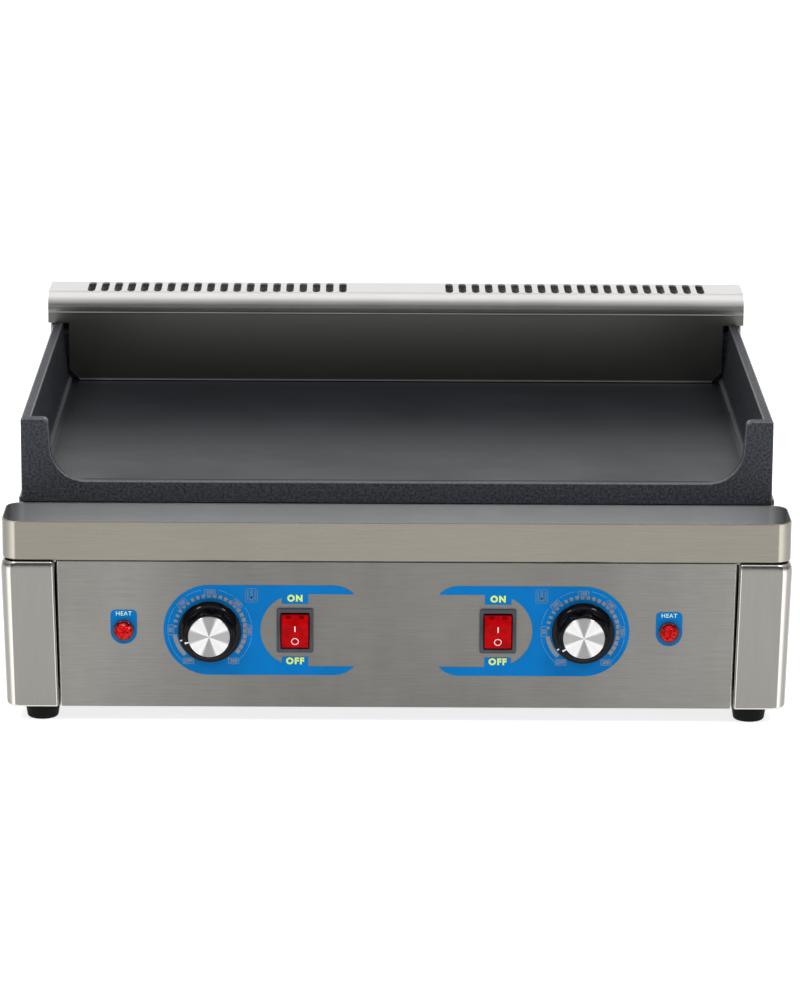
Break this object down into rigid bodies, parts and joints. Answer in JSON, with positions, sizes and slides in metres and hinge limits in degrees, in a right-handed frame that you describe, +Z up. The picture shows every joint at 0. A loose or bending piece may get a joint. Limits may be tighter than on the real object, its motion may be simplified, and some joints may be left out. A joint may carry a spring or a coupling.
{
  "type": "flat top griddle",
  "caption": "Countertop electric griddle: a walled cast-iron plate on a stainless cabinet, with a vented rear hood, a front grease tray, knobs and rocker switches.",
  "frame": {"origin": "on the surface it stands on, under the middle of the cabinet", "axes": "+Z up, +X to the right seen from the front, +Y to the rear; the controls face -Y"},
  "size_m": [0.55, 0.4655, 0.2307],
  "materials": {
    "cabinet_steel": "brushed stainless steel, vertical grain, satin",
    "brushed_sheet": "brushed stainless steel, grain along the length, satin",
    "pressed_steel": "pressed stainless steel, half polished at its bends",
    "inner_steel": "plain mill-finish sheet",
    "cast_plate": "black seasoned cast iron, pebbled outside, satin ground floor",
    "plated_steel": "zinc plated",
    "element_sheath": "dark oxidised tube",
    "copper": "drawn copper tube",
    "ceramic": "unglazed steatite",
    "ceramic_fibre": "pressed ceramic fibre mat",
    "wire_sleeve": "braided glass sleeve",
    "black_nylon": "black nylon",
    "switch_black": "satin black moulding",
    "knob_black": "glossy black phenolic",
    "spun_aluminium": "circular spun face",
    "rocker_red": "translucent red, glossy",
    "lens_red": "clear red with a moulded facet grid",
    "blue_print": "screen-printed blue field with pale lettering",
    "foot_rubber": "black rubber"
  },
  "bodies": {
    "cabinet": {"base_pan": "cabinet_steel", "front_panel": "cabinet_steel", "rear_panel": "cabinet_steel", "tray_ledge": "cabinet_steel", "rear_duct": "cabinet_steel", "rear_hood": "brushed_sheet", "griddle_plate": "cast_plate", "heat_shield": "inner_steel", "insulation_mat": "ceramic_fibre", "wiring_loom": "wire_sleeve", "terminal_block": "ceramic", "cable_gland": "black_nylon", "gland_nut": "black_nylon", "side_panel_left": "cabinet_steel", "heating_element_left": "element_sheath", "element_clamp_left": "plated_steel", "clamp_nut_left": "plated_steel", "hood_screw_left": "plated_steel", "thermostat_sensor_left": "copper", "control_label_left": "blue_print", "lamp_label_left": "blue_print", "thermostat_body_left": "ceramic", "thermostat_nut_left": "plated_steel", "switch_housing_left": "switch_black", "lamp_lens_left": "lens_red", "lamp_body_left": "black_nylon", "corner_post_front_left": "pressed_steel", "foot_front_left": "foot_rubber", "foot_screw_front_left": "plated_steel", "corner_post_rear_left": "pressed_steel", "foot_rear_left": "foot_rubber", "foot_screw_rear_left": "plated_steel", "side_panel_right": "cabinet_steel", "heating_element_right": "element_sheath", "element_clamp_right": "plated_steel", "clamp_nut_right": "plated_steel", "hood_screw_right": "plated_steel", "thermostat_sensor_right": "copper", "control_label_right": "blue_print", "lamp_label_right": "blue_print", "thermostat_body_right": "ceramic", "thermostat_nut_right": "plated_steel", "switch_housing_right": "switch_black", "lamp_lens_right": "lens_red", "lamp_body_right": "black_nylon", "corner_post_front_right": "pressed_steel", "foot_front_right": "foot_rubber", "foot_screw_front_right": "plated_steel", "corner_post_rear_right": "pressed_steel", "foot_rear_right": "foot_rubber", "foot_screw_rear_right": "plated_steel"},
    "tray": {"grease_tray": "brushed_sheet"},
    "knob_left_set": {"knob_left": "knob_black", "knob_cap_left": "spun_aluminium", "thermostat_shaft_left": "plated_steel"},
    "rocker_left_key": {"rocker_left": "rocker_red"},
    "knob_right_set": {"knob_right": "knob_black", "knob_cap_right": "spun_aluminium", "thermostat_shaft_right": "plated_steel"},
    "rocker_right_key": {"rocker_right": "rocker_red"}
  },
  "joints": [
    {"name": "tray_slide", "type": "slide", "parent": "cabinet", "child": "tray", "axis": [0, -1, 0], "range_m": [0, 0.08]},
    {"name": "knob_left_turn", "type": "hinge", "parent": "cabinet", "child": "knob_left_set", "pos_m": [-0.13, -0.215, 0.0681], "axis": [0, 1, 0], "range_deg": [-40, 250]},
    {"name": "knob_right_turn", "type": "hinge", "parent": "cabinet", "child": "knob_right_set", "pos_m": [0.13, -0.215, 0.0681], "axis": [0, 1, 0], "range_deg": [-23, 267]},
    {"name": "rocker_left_tilt", "type": "hinge", "parent": "cabinet", "child": "rocker_left_key", "pos_m": [-0.0707, -0.215, 0.0681], "axis": [-1, 0, 0], "range_deg": [0, 26]},
    {"name": "rocker_right_tilt", "type": "hinge", "parent": "cabinet", "child": "rocker_right_key", "pos_m": [0.0707, -0.215, 0.0681], "axis": [-1, 0, 0], "range_deg": [0, 26]}
  ]
}
